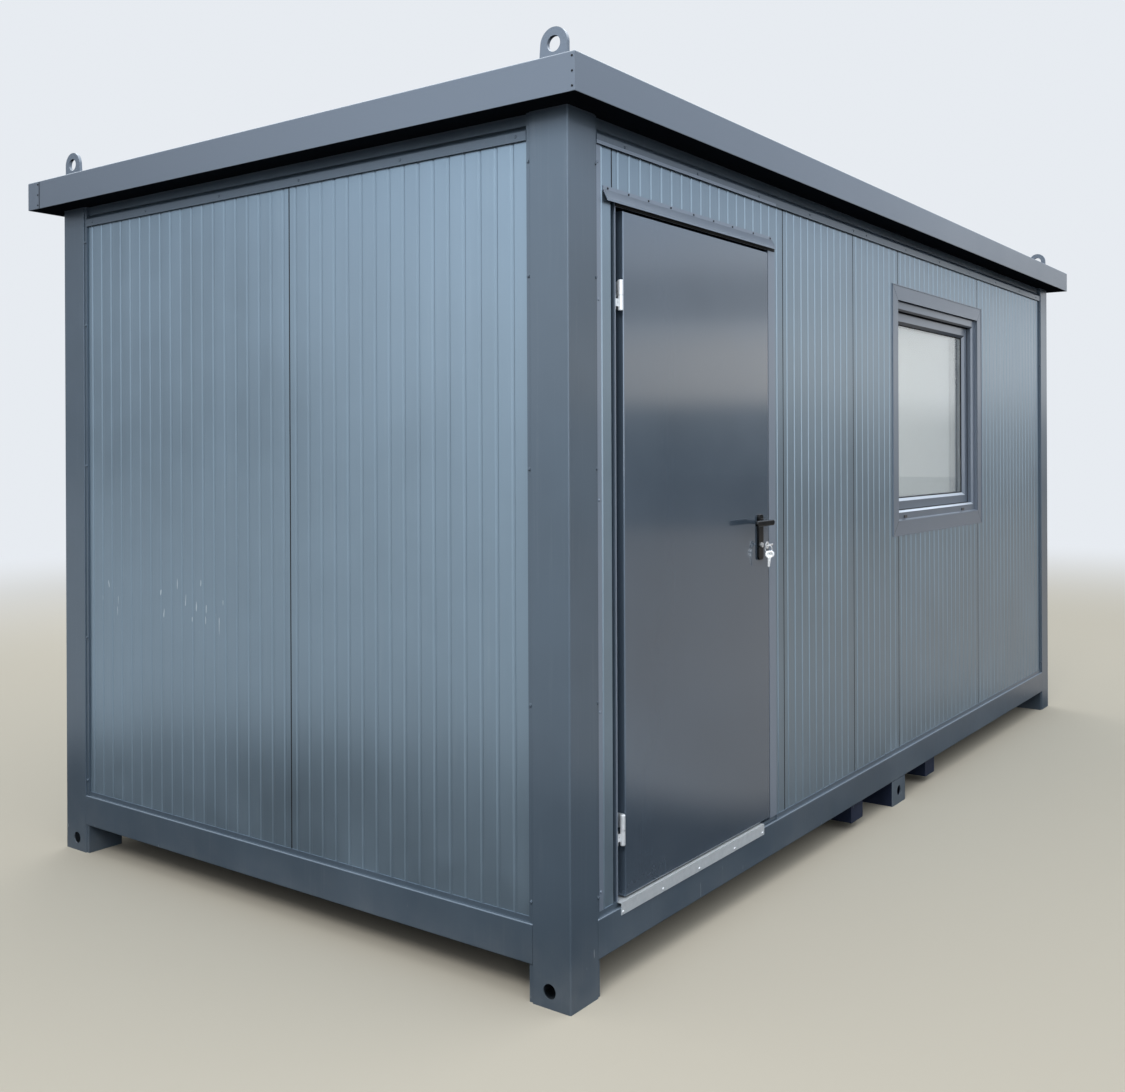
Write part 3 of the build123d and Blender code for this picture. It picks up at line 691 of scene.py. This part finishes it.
# a flat ring in the wall's plane, with rounded edges
def flatRing(low, high, width, depth, thickness, bevel):
    ring = uprightSheet(low, high, depth)
    leaveRim(ring, width)
    useModifier(ring, "SOLIDIFY", thickness=thickness, offset=0, use_even_offset=True)
    return roundEdges(ring, bevel)


glazing = {
    "glass": 0.004, "arris": 0.0008, "spacerWidth": 0.014, "spacerInset": 0.002, "spacerGap": 0.0004,
    "spacerBevel": 0.001, "sashWidth": 0.062, "sealWidth": 0.0045, "sealDepth": 0.003, "sealBevel": 0.0008,
    "frameWidth": 0.044, "lipSeal": 0.0035, "lipDepth": 0.0016, "lipBevel": 0.0004,
}


# the same inset on every side of an upright ring
def framed(inset):
    return Vector((inset, 0, inset))


def fitPane():
    size = glazing
    low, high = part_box("window_glass")
    sheets = []
    for depth in (low.y + size["glass"] / 2, high.y - size["glass"] / 2):
        sheet = uprightSheet(low, high, depth)
        useModifier(sheet, "SOLIDIFY", thickness=size["glass"], offset=0)
        sheets.append(useModifier(sheet, "BEVEL", width=size["arris"], segments=1))
    glass = settle(joined(sheets), "windowPanes", "cabin", "pane")
    inset = framed(size["spacerInset"])
    gap = high.y - low.y - 2 * size["glass"] - size["spacerGap"]
    middle = (low.y + high.y) / 2
    spacer = flatRing(low + inset, high - inset, size["spacerWidth"], middle, gap, size["spacerBevel"])
    settle(spacer, "paneSpacer", "cabin", "bare_aluminium")
    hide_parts("window_glass")
    sashLow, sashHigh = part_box("window_sash")
    start, end = sashLow + framed(size["sashWidth"]), sashHigh - framed(size["sashWidth"])
    seals = [
        flatRing(start, end, size["sealWidth"], depth, size["sealDepth"], size["sealBevel"])
        for depth in (low.y - size["sealDepth"] / 2, high.y + size["sealDepth"] / 2)
    ]
    start, end = frameLow + framed(size["frameWidth"]), frameHigh - framed(size["frameWidth"])
    depth = sashLow.y - size["lipDepth"] / 2
    seals.append(flatRing(start, end, size["lipSeal"], depth, size["lipDepth"], size["lipBevel"]))
    settle(joined(seals), "windowSeals", "cabin", "black_fittings", rubber)


fitPane()
print("window glazed")

# the dark seals in the upright joints between the wall panels
jointSeal = {
    "width": 0.0046, "front": 0.0116, "back": 0.0121, "bevel": 0.0001, "low": 0.215, "high": 2.425,
    "endJoint": 1.14, "post": 0.146, "backPanels": 4,
    # each on the door side: how far along, its foot and its head
    "frontJoints": (
        (0.232, 2.27, 2.425), (1.343, 0.215, 2.425), (1.985, 0.215, 2.425), (2.48, 0.215, 1.222),
        (2.48, 2.202, 2.425), (3.589, 0.215, 2.425),
    ),
}


def fitJointSeals():
    size = jointSeal
    foot, head = size["low"], size["high"]
    step = (cabinLength - 2 * size["post"]) / size["backPanels"]
    spots = [("front", along, low, high) for along, low, high in size["frontJoints"]]
    spots += [(side, size["endJoint"], foot, head) for side in ("left", "right")]
    spots += [("back", size["post"] + step * index, foot, head) for index in range(1, size["backPanels"])]
    strips = []
    for side, along, low, high in spots:
        front, outward = wallSpot(side, along, low, size["front"])
        back, outward = wallSpot(side, along, high, size["back"])
        across = Vector((abs(outward.y), abs(outward.x), 0)) * size["width"] / 2
        low, high = [Vector(map(order, front, back)) for order in (min, max)]
        strip = addBox(low - across, high + across)
        strips.append(useModifier(strip, "BEVEL", width=size["bevel"], segments=1))
    settle(joined(strips), "jointSeals", "cabin", "black_fittings", rubber)


fitJointSeals()

# mitre lines: where the plastic frame and sash are welded and the surround is cut
mitreLine = {
    "width": 0.0012, "depth": 0.0006, "bevel": 0.0002, "reach": 0.3536, "frameLap": 0.008,
    "frameFace": 0.024, "sashEdge": 0.01, "sashLap": 0.022, "surroundBead": 0.004, "surroundWidth": 0.06,
    "surroundFace": 0.01,
}


def mitreAt(corner, inwards, length, face):
    size = mitreLine
    line = addPrimitive("cube", size=1)
    line.scale = (length, size["depth"], size["width"])
    applyPlace(line)
    useModifier(line, "BEVEL", width=size["bevel"], segments=1)
    reach = length * size["reach"]    # half the line's length, along each side
    middle = Vector((corner[0] + inwards[0] * reach, face, corner[1] + inwards[1] * reach))
    angle = math.atan2(inwards[1], inwards[0])
    line.matrix_world = Matrix.Translation(middle) @ Matrix.Rotation(-angle, 4, "Y")
    return applyPlace(line)


def ringMitres(low, high, inset, width, face):
    low, high = low + framed(inset), high - framed(inset)
    return [
        mitreAt((x, z), (goX, goZ), width * math.sqrt(2), face)
        for x, goX in ((low.x, 1), (high.x, -1)) for z, goZ in ((low.z, 1), (high.z, -1))
    ]


def fitMitres():
    size = mitreLine
    sashLow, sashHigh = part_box("window_sash")
    frameFace, surroundFace = frontFace + size["frameFace"], frontFace + size["surroundFace"]
    frameWidth = glazing["frameWidth"] - size["frameLap"]
    sashWidth = glazing["sashWidth"] - size["sashLap"]
    bead, surroundWidth = size["surroundBead"], size["surroundWidth"]
    welds = ringMitres(frameLow, frameHigh, 0, frameWidth, frameFace)
    welds += ringMitres(sashLow, sashHigh, size["sashEdge"], sashWidth, sashLow.y)
    surround = ringMitres(flashingLow, flashingHigh, bead, surroundWidth, surroundFace)
    settle(joined(welds), "windowWelds", "cabin", "window_plastic")
    settle(joined(surround), "surroundMitres", "cabin", "black_fittings", rubber)


fitMitres()
print("window corners mitred")

# the seal that the leaf closes on, all round its edge
doorSeal = {"width": 0.012, "gap": 0.0004, "stop": 0.005, "lap": 0.006, "below": 0.004, "bevel": 0.002}


def fitDoorSeal():
    size = doorSeal
    low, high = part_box("door_leaf")
    start = Vector((low.x + size["lap"], 0, low.z - size["below"]))
    end = Vector((high.x - size["lap"], 0, high.z - size["lap"]))
    depth = high.y + (size["stop"] + size["gap"]) / 2
    ring = flatRing(start, end, size["width"], depth, size["stop"] - size["gap"], size["bevel"])
    settle(ring, "doorSeal", "cabin", "black_fittings", rubber)


# a black rubber strip on the frame's head, under the drip, that stands in for the drip's shadow there:
# painted shadow
dripShadowStrip = {
    "start": 0.246, "end": 1.268, "low": 2.2475, "high": 2.264, "front": 0.0062, "back": 0.0092,
    "bevel": 0.001,
}


def fitDripShadowStrip():
    size = dripShadowStrip
    strip = addBox((leftFace + size["start"], frontFace + size["front"], size["low"]),
                   (leftFace + size["end"], frontFace + size["back"], size["high"]))
    useModifier(strip, "BEVEL", width=size["bevel"], segments=2)
    settle(strip, "dripShadowStrip", "cabin", "black_fittings", rubber)


fitDoorSeal()
fitDripShadowStrip()

# hinge feet and caps, and the collars round the lever's necks
hingeCap = {
    "radius": 0.0076, "height": 0.0022, "bevel": 0.0011, "along": 0.268, "depth": 0.006, "knuckle": 0.042,
    "gap": 0.001,
}
leverCollar = {"radius": 0.0125, "bore": 0.0094, "height": 0.0022, "bevel": 0.0006, "along": 1.14}


def domedCap(place, outward):
    size = hingeCap
    cap = addPrimitive("cylinder", vertices=24, radius=size["radius"], depth=size["height"])
    cap.location.z = size["height"] / 2
    pickTopEdges(applyPlace(cap))
    bpy.ops.mesh.bevel(offset=size["bevel"], segments=3, affect="EDGES")
    solo(cap)
    cap.matrix_world = facingOut(place, outward)
    return applyPlace(cap)


def makeCollar():
    size = leverCollar
    disc = addPrimitive("circle", vertices=32, radius=size["radius"], fill_type="NGON")
    leaveRim(disc, size["radius"] - size["bore"])
    useModifier(disc, "SOLIDIFY", thickness=size["height"], offset=1, use_even_offset=True)
    return roundEdges(disc, size["bevel"])


def fitIronwork():
    size = hingeCap
    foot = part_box("hinge_pins")[0].z
    leafLow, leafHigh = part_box("hinge_knuckles")
    axisX, axisY = leftFace + size["along"], frontFace + size["depth"]
    bottoms = (foot, foot + leafHigh.z - leafLow.z - size["knuckle"])
    rise = 2 * size["knuckle"] + size["gap"]
    lower = [domedCap((axisX, axisY, z), (0, 0, -1)) for z in bottoms]
    upper = [domedCap((axisX, axisY, z + rise), (0, 0, 1)) for z in bottoms]
    settle(joined(lower), "hingeFeet", "cabin", "zinc_steel")
    settle(joined(upper), "hingeCaps", "door", "zinc_steel")
    plateLow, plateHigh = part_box("lock_plates")
    handleLow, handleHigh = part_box("door_handle")
    neckAlong, neckHeight = leftFace + leverCollar["along"], (handleLow.z + handleHigh.z) / 2
    collars = []
    for face, turn in ((plateLow.y, 90), (plateHigh.y, -90)):
        collar = makeCollar()
        collar.matrix_world = Matrix.Translation((neckAlong, face, neckHeight)) @ turned(turn, "X")
        collars.append(applyPlace(collar))
    settle(joined(collars), "leverCollars", "door", "black_fittings")


fitIronwork()
print("door seal, hinge caps and lever collars fitted")

# three flat keys on a ring: one stands in the lock, the others hang
keyShape = {
    "bow": 0.0125, "eye": 0.0052, "neck": 0.95, "thickness": 0.0022, "blade": 0.031, "teeth": 9,
    "cutSide": 0.001, "cut": 0.0013, "bevel": 0.0004, "ring": 0.0125, "wire": 0.001,
}
# how far the bow and the ring stand out, and the turns that the keys hang at
keyHang = {
    "bowOut": -0.017, "ringBeside": 0.002, "ringOut": -0.004, "ringTurn": -48, "hook": 0.55, "turn": -38,
    "second": (0.005, -0.006, 0.001), "secondTurn": -62, "secondLean": 9,
}


def makeKey():
    size = keyShape
    key = addPrimitive("circle", vertices=24, radius=size["bow"], fill_type="NGON")
    leaveRim(key, size["bow"] - size["eye"])
    neck = -size["bow"] * size["neck"]
    pick(key, "EDGE", lambda edge: all(vert.co.y < neck for vert in edge.verts))
    bpy.ops.mesh.extrude_region_move(TRANSFORM_OT_translate={"value": (0, -size["blade"], 0)})
    pick(key, "EDGE", lambda edge: edge.verts[0].co.x > size["cutSide"]
         and abs(edge.verts[0].co.y - edge.verts[1].co.y) > size["blade"] * 0.8)
    bpy.ops.mesh.subdivide(number_cuts=size["teeth"])
    step = size["blade"] / (size["teeth"] + 1)
    firstCut, lastCut = neck - step * 0.6, neck - size["blade"] * 0.97
    pick(key, "VERT", lambda vert: vert.co.x > size["cutSide"] and lastCut < vert.co.y < firstCut
         and round((neck - vert.co.y) / step) % 2 == 0)
    bpy.ops.transform.translate(value=(-size["cut"], 0, 0))
    useModifier(key, "SOLIDIFY", thickness=size["thickness"], offset=0)
    return roundEdges(key, size["bevel"])


def fitKeys():
    size, hang = keyShape, keyHang
    low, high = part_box("lock_cylinder")
    bowAt = Vector(((low.x + high.x) / 2, low.y + hang["bowOut"], (low.z + high.z) / 2))
    ringAt = bowAt + Vector((hang["ringBeside"], hang["ringOut"], -size["ring"]))
    hangAt = ringAt + Vector((0, 0, -size["ring"] - size["bow"] * hang["hook"]))
    secondAt = hangAt + Vector(hang["second"])
    base = makeKey()
    parts = [
        copyTo(base, Matrix.Translation(place) @ turn) for place, turn in (
            (bowAt, turned(-90, "Z") @ turned(90, "Y") @ turned(180, "Z")),
            (hangAt, turned(hang["turn"], "Z") @ turned(90, "X")),
            (secondAt, turned(hang["secondTurn"], "Z") @ turned(hang["secondLean"], "Y") @ turned(90, "X")),
        )
    ]
    drop(base)
    ring = addPrimitive(
        "torus", major_segments=40, minor_segments=10, major_radius=size["ring"], minor_radius=size["wire"]
    )
    ring.matrix_world = Matrix.Translation(ringAt) @ turned(hang["ringTurn"], "Z") @ turned(90, "X")
    parts.insert(1, applyPlace(ring))
    keys = settle(joined(parts), "keyBunch", "door", "lock_steel")
    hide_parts("keys")


fitKeys()
print("keys hung")

camera = {
    "place": (-5.102, -3.1446, 1.5424), "yaw": 36.22, "pitch": -0.05, "roll": -0.24,
    "lens": 38.6, "shift": -0.0841, "sensor": 36.0, "farthest": 200.0,
}


def setCamera():
    data = bpy.data.cameras.new("camera")
    cam = bpy.data.objects.new("camera", data)
    bpy.context.scene.collection.objects.link(cam)
    data.lens = camera["lens"]
    data.sensor_width = camera["sensor"]
    data.shift_y = camera["shift"]
    data.clip_end = camera["farthest"]
    aim = turned(camera["yaw"] - 90, "Z") @ turned(90 + camera["pitch"], "X")
    cam.matrix_world = Matrix.Translation(camera["place"]) @ aim @ turned(camera["roll"], "Z")
    bpy.context.scene.camera = cam


# an overcast sky: dim at the horizon, even above it, brightest overhead; matt faces see a softer one
sky = {
    "horizon": (0.3, 0.33, 0.36), "low": (0.95, 0.99, 1.03), "high": (0.9, 1.02, 1.18),
    "top": (2.9, 3.05, 3.2), "horizonTop": 0.012, "lowStart": 0.045, "lowEnd": 0.14, "highStart": 0.22,
    "topStart": 0.36, "topEnd": 0.62, "straightStart": 0.1, "straightEnd": 0.3,
    "softLow": (0.36, 0.4, 0.45), "softTop": (1.6, 1.7, 1.8), "softEnd": 0.85, "backdrop": (0.8, 0.835, 0.88),
}
# on the side that the door's face mirrors: a dark band along the horizon, and a darker strip in the clouds
sideSky = {
    "band": (0.17, 0.205, 0.235), "bandStart": 0.026, "bandEnd": 0.05, "haze": (1.22, 1.16, 1.08),
    "hazeStart": 0.075, "hazeEnd": 0.11, "stripStart": 0.098, "stripLow": 0.112, "stripHigh": 0.13,
    "stripEnd": 0.16, "strip": 0.55,
}
# where it is brighter or dimmer: direction, where the change starts and ends, and the gain there
skySides = {
    "bright": ((-0.86, 0.51, 0.0), 0.9, 0.985, (1.62, 1.65, 1.68)),
    "shaded": ((-0.45, 0.893, 0.0), 0.93, 0.99, (0.36, 0.37, 0.39)),
    "corner": ((-0.707, -0.707, 0.0), 0.78, 0.97, (2.3, 2.35, 2.4)),
    "straight": ((0.08, -0.997, 0.0), 0.82, 0.98, (2.35, 2.26, 2.2)),
    "distant": ((0.975, -0.22, 0.0), 0.975, 0.998, (1.24, 1.23, 1.22)),
    "dim": ((0.84, -0.55, 0.0), 0.72, 0.95, (0.95, 0.96, 0.98)),
}
# the soft light is weaker from the back left
softShade = {"side": (-0.7, 0.714, 0.0), "start": -0.1, "end": 0.8, "gain": 0.5}
floorTone = {
    "span": 120, "seen": (0.465, 0.425, 0.352), "bounce": 0.08, "open": (0.59, 0.6, 0.6),
    "front": (0.378, 0.335, 0.298), "far": (0.12, 0.13, 0.14), "mirroredShadow": (0.04, 0.04, 0.04), "rough": 0.95,
    "frontReach": (0.15, 0.6), "leftReach": (1.3, 2.5), "dimStart": 13.0, "dimEnd": 20.0,
    "edgeStart": -7.5, "edgeEnd": -10.5, "leftStart": -2.3, "leftEnd": -3.3,
    "cornerStart": -1.8, "cornerEnd": -4.0, "fadeStart": 3.5, "fadeEnd": 13.0,
}
softboxes = {
    "leftKey": {"place": (-6.4, -2.3, 5.0), "target": (-2.4, -0.9, 1.7), "size": (2.4, 2.0),
                "power": 62, "spread": 100, "highlight": False},
    "cornerLight": {"place": (-7.4, -6.8, 3.2), "target": (-2.4, -1.2, 1.3), "size": (0.7, 3.2),
                    "power": 18, "spread": 110, "highlight": False},
    "backFill": {"place": (5.5, 7.5, 4.5), "target": (0.5, 1.0, 1.3), "size": (5.0, 2.5),
                 "power": 90, "spread": 140, "highlight": True},
    "roomLight": {"place": (0.6, 0.0, 2.38), "target": (0.6, 0.01, 0.0), "size": (3.2, 1.4),
                  "power": 64, "spread": 170, "highlight": False},
}


def leaning(tree, direction, side):
    lean = addNode(tree, "ShaderNodeVectorMath", operation="DOT_PRODUCT")
    tree.links.new(direction, lean.inputs[0])
    lean.inputs[1].default_value = side
    return lean.outputs["Value"]


def skyColor(tree):
    direction = addNode(tree, "ShaderNodeTexCoord").outputs["Generated"]
    rise = axes(tree, direction)["Z"]
    sides = {
        name: remap(tree, leaning(tree, direction, side), start, end, smooth=True)
        for name, (side, start, end, gain) in skySides.items()
    }
    lowDown = remap(tree, rise, sky["straightEnd"], sky["straightStart"], smooth=True)
    sides["straight"] = times(tree, sides["straight"], lowDown)
    low = remap(tree, rise, sky["horizonTop"], sky["lowStart"], smooth=True)
    for name in ("corner", "straight"):
        low = maths(tree, "MAXIMUM", low, sides[name])
    high = remap(tree, rise, sky["lowEnd"], sky["highStart"], smooth=True)
    top = remap(tree, rise, sky["topStart"], sky["topEnd"], smooth=True)
    dome = mixColor(tree, low, sky["horizon"], sky["low"])
    dome = mixColor(tree, high, dome, sky["high"])
    dome = mixColor(tree, top, dome, sky["top"])
    for name, (side, start, end, gain) in skySides.items():
        gained = mixColor(tree, sides[name], (1.0, 1.0, 1.0), gain)
        dome = mixColor(tree, 1.0, dome, gained, "MULTIPLY")
    size = sideSky
    facing = times(tree, sides["dim"], maths(tree, "SUBTRACT", 1.0, sides["distant"]))
    haze = times(tree, remap(tree, rise, size["hazeEnd"], size["hazeStart"], smooth=True), facing)
    dome = mixColor(tree, haze, dome, size["haze"])
    band = times(tree, remap(tree, rise, size["bandEnd"], size["bandStart"], smooth=True), facing)
    dome = mixColor(tree, band, dome, size["band"])
    rising = remap(tree, rise, size["stripStart"], size["stripLow"], smooth=True)
    falling = remap(tree, rise, size["stripEnd"], size["stripHigh"], smooth=True)
    strip = remap(tree, times(tree, rising, falling, sides["dim"]), 0.0, 1.0, 1.0, size["strip"])
    dome = mixColor(tree, 1.0, dome, strip, "MULTIPLY")
    overhead = remap(tree, rise, 0.0, sky["softEnd"], smooth=True)
    soft = mixColor(tree, overhead, sky["softLow"], sky["softTop"])
    size = softShade
    lean = leaning(tree, direction, size["side"])
    shade = remap(tree, lean, size["start"], size["end"], 1.0, size["gain"])
    soft = mixColor(tree, 1.0, soft, shade, "MULTIPLY")
    glossy = addNode(tree, "ShaderNodeLightPath").outputs["Is Glossy Ray"]
    return mixColor(tree, glossy, soft, dome)


# the floor is pale to the eye and throws little light up; in mirrors it is painted darkest close to the
# cabin, a painted shadow
def floorMaterial():
    mat, tree, shader = newMaterial("paleFloor")
    path = addNode(tree, "ShaderNodeLightPath").outputs
    parts = axes(tree, objectCoords(tree))
    squares = []
    for axis, span in (("X", cabinLength), ("Y", cabinWidth)):
        beyond = maths(tree, "SUBTRACT", maths(tree, "ABSOLUTE", parts[axis]), span / 2)
        beyond = maths(tree, "MAXIMUM", beyond, 0.0)
        squares.append(times(tree, beyond, beyond))
    away = maths(tree, "SQRT", maths(tree, "ADD", *squares))
    size = floorTone
    distant = remap(tree, away, size["dimStart"], size["dimEnd"], smooth=True)
    farEdge = remap(tree, parts["Y"], size["edgeStart"], size["edgeEnd"], smooth=True)
    front = mixColor(tree, times(tree, distant, farEdge), size["front"], size["far"])
    left = remap(tree, parts["X"], size["leftStart"], size["leftEnd"], smooth=True)
    diagonal = maths(tree, "ADD", parts["X"], parts["Y"])
    corner = remap(tree, diagonal, size["cornerStart"], size["cornerEnd"], smooth=True)
    leftward = maths(tree, "MAXIMUM", left, corner)
    side = mixColor(tree, leftward, front, size["open"])
    start, end = [
        remap(tree, leftward, 0.0, 1.0, *ends) for ends in zip(size["frontReach"], size["leftReach"])
    ]
    # near the cabin the mirrored floor is painted near black: painted shadow
    mirrored = mixColor(tree, remap(tree, away, start, end, smooth=True), size["mirroredShadow"], side)
    tone = mixColor(tree, path["Is Glossy Ray"], (size["bounce"],) * 3, mirrored)
    shown = maths(tree, "MAXIMUM", path["Is Camera Ray"], path["Is Transmission Ray"])
    tone = mixColor(tree, shown, tone, size["seen"])
    fade = times(tree, shown, remap(tree, away, size["fadeStart"], size["fadeEnd"], smooth=True))
    tree.links.new(mixColor(tree, fade, tone, (0.0, 0.0, 0.0)), shader.inputs["Base Color"])
    tree.links.new(mixColor(tree, fade, (0.0, 0.0, 0.0), sky["backdrop"]), shader.inputs["Emission Color"])
    shader.inputs["Emission Strength"].default_value = 1.0
    shader.inputs["Roughness"].default_value = size["rough"]
    shader.inputs["Specular IOR Level"].default_value = 0.0
    return mat


def studio():
    world = bpy.data.worlds.new("studio")
    bpy.context.scene.world = world
    world.use_nodes = True
    tree = world.node_tree
    background = tree.nodes["Background"]
    path = addNode(tree, "ShaderNodeLightPath").outputs
    seen = maths(tree, "MAXIMUM", path["Is Camera Ray"], path["Is Transmission Ray"])
    tree.links.new(mixColor(tree, seen, skyColor(tree), sky["backdrop"]), background.inputs["Color"])
    background.inputs["Strength"].default_value = 1.0
    for name, box in softboxes.items():
        data = bpy.data.lights.new(name, "AREA")
        data.shape = "RECTANGLE"
        data.size, data.size_y = box["size"]
        data.energy = box["power"]
        data.spread = math.radians(box["spread"])
        lamp = bpy.data.objects.new(name, data)
        bpy.context.scene.collection.objects.link(lamp)
        lamp.visible_camera = False
        lamp.visible_transmission = False
        lamp.visible_glossy = box["highlight"]
        aim = (Vector(box["target"]) - Vector(box["place"])).to_track_quat("-Z", "Y")
        lamp.matrix_world = Matrix.Translation(box["place"]) @ aim.to_matrix().to_4x4()
    floor = addPrimitive("plane", size=floorTone["span"], location=(0, 0, 0))
    floor.name = "floor"
    floor.data.materials.append(floorMaterial())


setCamera()
studio()
bpy.context.scene.view_settings.view_transform = "Standard"
print("camera, lights and floor set")
